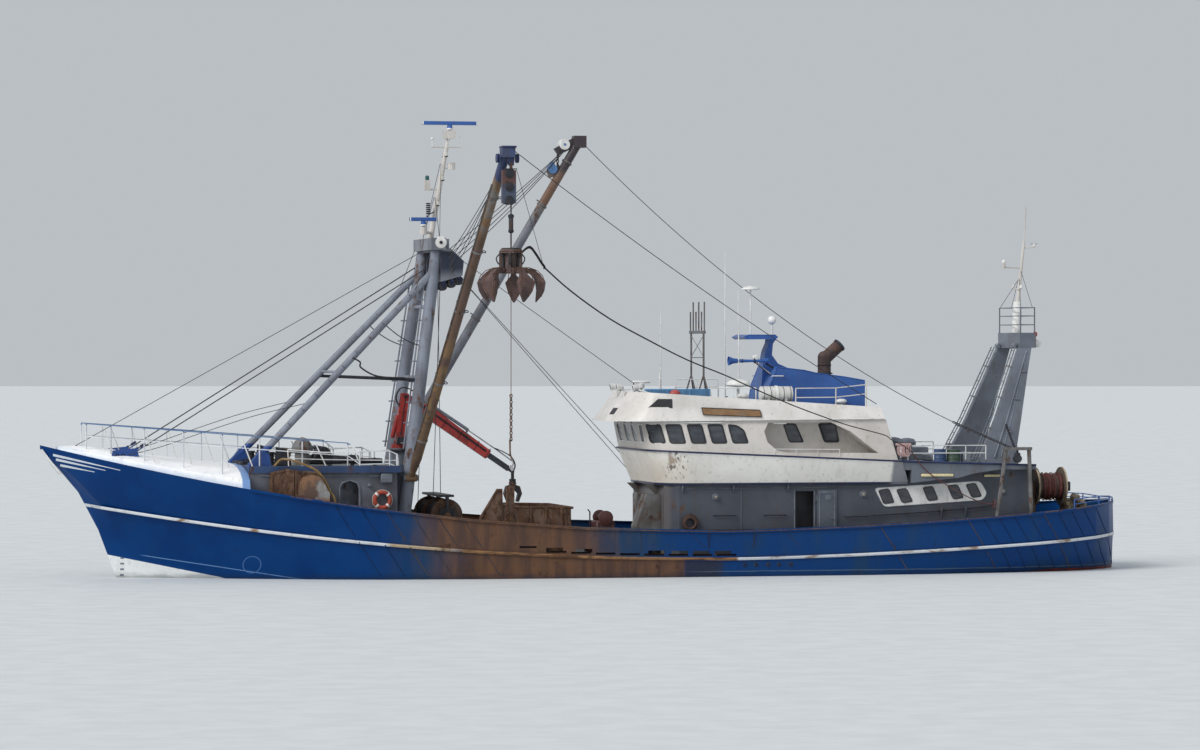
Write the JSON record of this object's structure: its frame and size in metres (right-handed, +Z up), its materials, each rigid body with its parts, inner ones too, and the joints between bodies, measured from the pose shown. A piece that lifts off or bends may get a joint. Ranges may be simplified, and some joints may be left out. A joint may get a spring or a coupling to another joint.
{
  "type": "fishing trawler",
  "caption": "Steel beam trawler with a long hull, whaleback bow, A-frame fore mast with two booms, grab, wheelhouse, deckhouse and stern gantry.",
  "frame": {"origin": "on the centreline amidships at the waterline", "axes": "+X to the bow, +Y to port, +Z up"},
  "size_m": [39.28, 16.4184, 19.96],
  "materials": {
    "hull_paint": "satin, weathered",
    "white_paint": "satin, weathered",
    "grey_paint": "matt",
    "mast_paint": "satin, weathered",
    "blue_paint": "satin",
    "red_paint": "satin",
    "rusty_steel": "matt, rusted",
    "dark_steel": "matt",
    "propeller_bronze": "polished"
  },
  "bodies": {
    "ship": {"hull": "hull_paint", "bulwark_port": "hull_paint", "bulwark_starboard": "hull_paint", "whaleback": "white_paint", "foredeck_rails": "white_paint", "topmast": "white_paint", "bridge_lower": "white_paint", "wheelhouse": "white_paint", "wheelhouse_roof": "white_paint", "liferaft": "white_paint", "roof_rail_port": "white_paint", "roof_rail_starboard": "white_paint", "stern_mast": "white_paint", "forecastle_house": "grey_paint", "deckhouse": "grey_paint", "boat_deck": "grey_paint", "gantry_leg_port": "grey_paint", "gantry_leg_starboard": "grey_paint", "gantry_platform": "grey_paint", "aerial_frame": "grey_paint", "crane_base": "grey_paint", "mast_leg_port": "mast_paint", "mast_leg_starboard": "mast_paint", "mast_head": "mast_paint", "fore_strut_port": "mast_paint", "fore_strut_starboard": "mast_paint", "foredeck": "blue_paint", "casing": "blue_paint", "stern_rail": "blue_paint", "fish_hopper": "rusty_steel", "trawl_shoes": "rusty_steel", "fore_hauler": "rusty_steel", "gallows_port": "rusty_steel", "gallows_starboard": "rusty_steel", "reel_stand": "rusty_steel", "exhaust_pipe": "rusty_steel", "winch_frame": "dark_steel", "forestay_port": "dark_steel", "forestay_starboard": "dark_steel", "nozzle": "dark_steel"},
    "port_boom": {"boom_port": "rusty_steel"},
    "grab": {"grab_body": "rusty_steel"},
    "tine_1": {"grab_tine_1": "rusty_steel"},
    "tine_2": {"grab_tine_2": "rusty_steel"},
    "tine_3": {"grab_tine_3": "rusty_steel"},
    "tine_4": {"grab_tine_4": "rusty_steel"},
    "tine_5": {"grab_tine_5": "rusty_steel"},
    "starboard_boom": {"boom_starboard": "mast_paint"},
    "crane_turntable": {"crane_column": "red_paint"},
    "crane_arm": {"crane_inner_boom": "red_paint"},
    "crane_jib": {"crane_outer_boom": "red_paint"},
    "crane_slide": {"crane_extension": "dark_steel"},
    "crane_claw": {"crane_grapple": "dark_steel"},
    "winch": {"winch_drums": "rusty_steel"},
    "reel": {"rope_reel": "rusty_steel"},
    "screw": {"propeller": "propeller_bronze"},
    "rudder_blade": {"rudder": "hull_paint"},
    "upper_scanner": {"radar_scanner_upper": "blue_paint"},
    "lower_scanner": {"radar_scanner_lower": "blue_paint"},
    "side_door": {"deckhouse_door": "grey_paint"}
  },
  "joints": [
    {"name": "boom_port_swing", "type": "hinge", "parent": "ship", "child": "port_boom", "pos_m": [6.95, 2.62, 3.5], "axis": [-1, 0, 0], "range_deg": [-18, 43]},
    {"name": "boom_starboard_swing", "type": "hinge", "parent": "ship", "child": "starboard_boom", "pos_m": [6.95, -2.62, 3.5], "axis": [1, 0, 0], "range_deg": [0, 78]},
    {"name": "grab_plumb", "type": "hinge", "parent": "port_boom", "child": "grab", "pos_m": [5.1, 11, 14.2], "axis": [-1, 0, 0], "range_deg": [-43, 18]},
    {"name": "grab_tine_1_close", "type": "hinge", "parent": "grab", "child": "tine_1", "pos_m": [5.44788, 11.25275, 10.64], "axis": [-0.5878, 0.809, 0], "range_deg": [-10, 36]},
    {"name": "grab_tine_2_close", "type": "hinge", "parent": "grab", "child": "tine_2", "pos_m": [4.96712, 11.40895, 10.64], "axis": [-0.9511, -0.309, 0], "range_deg": [-10, 36]},
    {"name": "grab_tine_3_close", "type": "hinge", "parent": "grab", "child": "tine_3", "pos_m": [4.67, 11, 10.64], "axis": [0, -1, 0], "range_deg": [-10, 36]},
    {"name": "grab_tine_4_close", "type": "hinge", "parent": "grab", "child": "tine_4", "pos_m": [4.96712, 10.59105, 10.64], "axis": [0.9511, -0.309, 0], "range_deg": [-10, 36]},
    {"name": "grab_tine_5_close", "type": "hinge", "parent": "grab", "child": "tine_5", "pos_m": [5.44788, 10.74725, 10.64], "axis": [0.5878, 0.809, 0], "range_deg": [-10, 36]},
    {"name": "crane_slew", "type": "hinge", "parent": "ship", "child": "crane_turntable", "pos_m": [7, 0.6, 4.5], "axis": [0, 0, 1], "range_deg": [-30, 28]},
    {"name": "crane_inner_lift", "type": "hinge", "parent": "crane_turntable", "child": "crane_arm", "pos_m": [7, 0.6, 4.82], "axis": [0, -1, 0], "range_deg": [-12, 0]},
    {"name": "crane_outer_lift", "type": "hinge", "parent": "crane_arm", "child": "crane_jib", "pos_m": [6.8, 0.6, 6.33], "axis": [0, 1, 0], "range_deg": [0, 45]},
    {"name": "crane_extension_slide", "type": "slide", "parent": "crane_jib", "child": "crane_slide", "axis": [-0.8269, 0, -0.5623], "range_m": [-0.7, 0.6]},
    {"name": "crane_grapple_hang", "type": "hinge", "parent": "crane_slide", "child": "crane_claw", "pos_m": [2.91245, 0.6, 3.64414], "axis": [0, 1, 0], "range_deg": [-20, 60]},
    {"name": "winch_turn", "type": "hinge", "parent": "ship", "child": "winch", "pos_m": [5.5, 0, 2.15], "axis": [0, 1, 0], "continuous": true},
    {"name": "reel_turn", "type": "hinge", "parent": "ship", "child": "reel", "pos_m": [-16.75, 1.5, 3.02], "axis": [1, 0, 0], "continuous": true},
    {"name": "propeller_turn", "type": "hinge", "parent": "ship", "child": "screw", "pos_m": [-15.95, 0, -2.48], "axis": [1, 0, 0], "continuous": true},
    {"name": "rudder_turn", "type": "hinge", "parent": "ship", "child": "rudder_blade", "pos_m": [-17, 0, -2.5], "axis": [0, 0, 1], "range_deg": [-35, 35]},
    {"name": "upper_scanner_turn", "type": "hinge", "parent": "ship", "child": "upper_scanner", "pos_m": [5.07, 0, 15.9], "axis": [0, 0, 1], "continuous": true},
    {"name": "lower_scanner_turn", "type": "hinge", "parent": "ship", "child": "lower_scanner", "pos_m": [6.14, 0.65, 12.45], "axis": [0, 0, 1], "continuous": true},
    {"name": "side_door_swing", "type": "hinge", "parent": "ship", "child": "side_door", "pos_m": [-7.64, 2.9, 2], "axis": [0, 0, -1], "range_deg": [0, 180]}
  ],
  "couplings": [
    {"joint": "grab_plumb", "follows": "boom_port_swing", "ratio": -1},
    {"joint": "grab_tine_2_close", "follows": "grab_tine_1_close", "ratio": 1},
    {"joint": "grab_tine_3_close", "follows": "grab_tine_1_close", "ratio": 1},
    {"joint": "grab_tine_4_close", "follows": "grab_tine_1_close", "ratio": 1},
    {"joint": "grab_tine_5_close", "follows": "grab_tine_1_close", "ratio": 1}
  ]
}
